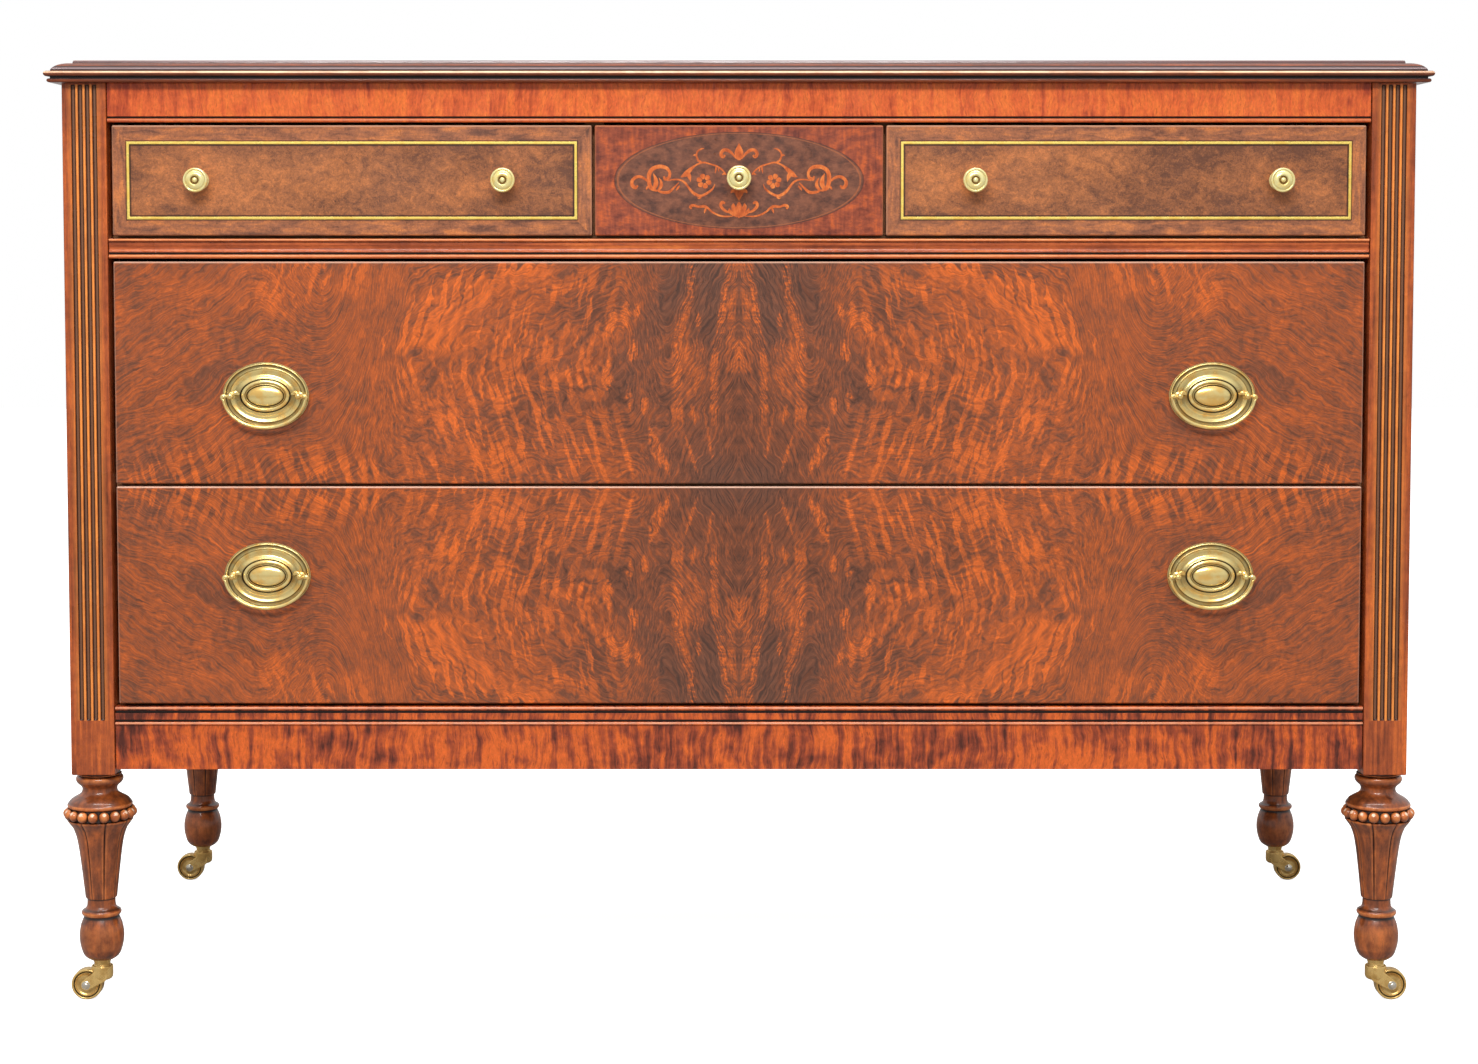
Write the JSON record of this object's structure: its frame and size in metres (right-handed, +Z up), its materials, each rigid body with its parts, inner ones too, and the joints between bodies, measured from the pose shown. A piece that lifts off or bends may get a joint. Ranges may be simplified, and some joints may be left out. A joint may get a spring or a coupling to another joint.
{
  "type": "dresser",
  "caption": "Low mahogany dresser with small drawers over long ones, fluted posts, moulded rails, turned beaded legs on brass casters, oval bail pulls and round knobs.",
  "frame": {"origin": "on the floor, under the middle of the whole box", "axes": "+X to the viewer's right along the width, +Y from the drawers to the back, +Z up"},
  "size_m": [1.27, 0.5674, 0.88],
  "materials": {
    "mahogany": "satin polish over red-brown mahogany",
    "moulding": "satin polish, lighter on the beads",
    "frieze_veneer": "polished cross-cut veneer, bright orange brown",
    "crotch_veneer": "polished book-matched flame veneer",
    "centre_veneer": "polished veneer with an inlaid oval",
    "burl_veneer": "polished grey-brown burr veneer with cross-banded border",
    "turned": "satin polish, dark in the turned hollows",
    "inner_wood": "plain sanded secondary wood",
    "polished_brass": "polished",
    "antique_brass": "antiqued, dark in the recesses"
  },
  "bodies": {
    "case": {"apron": "frieze_veneer", "back_panel": "inner_wood", "bottom_frame": "inner_wood", "frieze_rail": "frieze_veneer", "front_left_caster_socket": "antique_brass", "front_left_leg": "turned", "front_post_left": "mahogany", "front_post_right": "mahogany", "front_right_caster_socket": "antique_brass", "front_right_leg": "turned", "mid_frame": "inner_wood", "partition_left": "inner_wood", "partition_right": "inner_wood", "rear_left_caster_socket": "antique_brass", "rear_left_leg": "turned", "rear_post_left": "mahogany", "rear_post_right": "mahogany", "rear_right_caster_socket": "antique_brass", "rear_right_leg": "turned", "side_panel_left": "mahogany", "side_panel_right": "mahogany", "top": "mahogany", "waist_frame": "inner_wood", "waist_rail": "moulding"},
    "left_drawer": {"left_drawer_front": "burl_veneer", "left_drawer_box": "inner_wood", "left_drawer_bottom": "inner_wood", "left_drawer_knob_left": "polished_brass", "left_drawer_knob_right": "polished_brass"},
    "centre_drawer": {"centre_drawer_front": "centre_veneer", "centre_drawer_box": "inner_wood", "centre_drawer_bottom": "inner_wood", "centre_drawer_knob": "polished_brass"},
    "right_drawer": {"right_drawer_front": "burl_veneer", "right_drawer_box": "inner_wood", "right_drawer_bottom": "inner_wood", "right_drawer_knob_left": "polished_brass", "right_drawer_knob_right": "polished_brass"},
    "upper_drawer": {"upper_drawer_front": "crotch_veneer", "upper_drawer_box": "inner_wood", "upper_drawer_bottom": "inner_wood", "upper_drawer_pull_left": "antique_brass", "upper_drawer_pull_right": "antique_brass"},
    "lower_drawer": {"lower_drawer_front": "crotch_veneer", "lower_drawer_box": "inner_wood", "lower_drawer_bottom": "inner_wood", "lower_drawer_pull_left": "antique_brass", "lower_drawer_pull_right": "antique_brass"},
    "upper_drawer_bail_left": {"upper_drawer_bail_left": "antique_brass"},
    "upper_drawer_bail_right": {"upper_drawer_bail_right": "antique_brass"},
    "lower_drawer_bail_left": {"lower_drawer_bail_left": "antique_brass"},
    "lower_drawer_bail_right": {"lower_drawer_bail_right": "antique_brass"},
    "front_left_caster_swivel": {"front_left_caster_horn": "antique_brass"},
    "front_left_caster_wheel": {"front_left_caster_wheel": "antique_brass"},
    "front_right_caster_swivel": {"front_right_caster_horn": "antique_brass"},
    "front_right_caster_wheel": {"front_right_caster_wheel": "antique_brass"},
    "rear_left_caster_swivel": {"rear_left_caster_horn": "antique_brass"},
    "rear_left_caster_wheel": {"rear_left_caster_wheel": "antique_brass"},
    "rear_right_caster_swivel": {"rear_right_caster_horn": "antique_brass"},
    "rear_right_caster_wheel": {"rear_right_caster_wheel": "antique_brass"}
  },
  "joints": [
    {"name": "left_drawer_slide", "type": "slide", "parent": "case", "child": "left_drawer", "axis": [0, -1, 0], "range_m": [0, 0.38]},
    {"name": "centre_drawer_slide", "type": "slide", "parent": "case", "child": "centre_drawer", "axis": [0, -1, 0], "range_m": [0, 0.38]},
    {"name": "right_drawer_slide", "type": "slide", "parent": "case", "child": "right_drawer", "axis": [0, -1, 0], "range_m": [0, 0.38]},
    {"name": "upper_drawer_slide", "type": "slide", "parent": "case", "child": "upper_drawer", "axis": [0, -1, 0], "range_m": [0, 0.38]},
    {"name": "lower_drawer_slide", "type": "slide", "parent": "case", "child": "lower_drawer", "axis": [0, -1, 0], "range_m": [0, 0.38]},
    {"name": "upper_drawer_bail_left_swing", "type": "hinge", "parent": "upper_drawer", "child": "upper_drawer_bail_left", "pos_m": [-0.437, -0.27025, 0.57161], "axis": [-1, 0, 0], "range_deg": [-12, 100]},
    {"name": "upper_drawer_bail_right_swing", "type": "hinge", "parent": "upper_drawer", "child": "upper_drawer_bail_right", "pos_m": [0.437, -0.27025, 0.57161], "axis": [-1, 0, 0], "range_deg": [-12, 100]},
    {"name": "lower_drawer_bail_left_swing", "type": "hinge", "parent": "lower_drawer", "child": "lower_drawer_bail_left", "pos_m": [-0.437, -0.27025, 0.4045], "axis": [-1, 0, 0], "range_deg": [-12, 100]},
    {"name": "lower_drawer_bail_right_swing", "type": "hinge", "parent": "lower_drawer", "child": "lower_drawer_bail_right", "pos_m": [0.437, -0.27025, 0.4045], "axis": [-1, 0, 0], "range_deg": [-12, 100]},
    {"name": "front_left_caster_turn", "type": "hinge", "parent": "case", "child": "front_left_caster_swivel", "pos_m": [-0.60125, -0.23525, 0.0322], "axis": [0, 0, 1], "continuous": true},
    {"name": "front_left_wheel_spin", "type": "hinge", "parent": "front_left_caster_swivel", "child": "front_left_caster_wheel", "pos_m": [-0.61505, -0.23525, 0.0145], "axis": [0, 1, 0], "continuous": true},
    {"name": "front_right_caster_turn", "type": "hinge", "parent": "case", "child": "front_right_caster_swivel", "pos_m": [0.60125, -0.23525, 0.0322], "axis": [0, 0, 1], "continuous": true},
    {"name": "front_right_wheel_spin", "type": "hinge", "parent": "front_right_caster_swivel", "child": "front_right_caster_wheel", "pos_m": [0.61505, -0.23525, 0.0145], "axis": [0, 1, 0], "continuous": true},
    {"name": "rear_left_caster_turn", "type": "hinge", "parent": "case", "child": "rear_left_caster_swivel", "pos_m": [-0.60125, 0.24775, 0.0322], "axis": [0, 0, 1], "continuous": true},
    {"name": "rear_left_wheel_spin", "type": "hinge", "parent": "rear_left_caster_swivel", "child": "rear_left_caster_wheel", "pos_m": [-0.61505, 0.24775, 0.0145], "axis": [0, 1, 0], "continuous": true},
    {"name": "rear_right_caster_turn", "type": "hinge", "parent": "case", "child": "rear_right_caster_swivel", "pos_m": [0.60125, 0.24775, 0.0322], "axis": [0, 0, 1], "continuous": true},
    {"name": "rear_right_wheel_spin", "type": "hinge", "parent": "rear_right_caster_swivel", "child": "rear_right_caster_wheel", "pos_m": [0.61505, 0.24775, 0.0145], "axis": [0, 1, 0], "continuous": true}
  ]
}
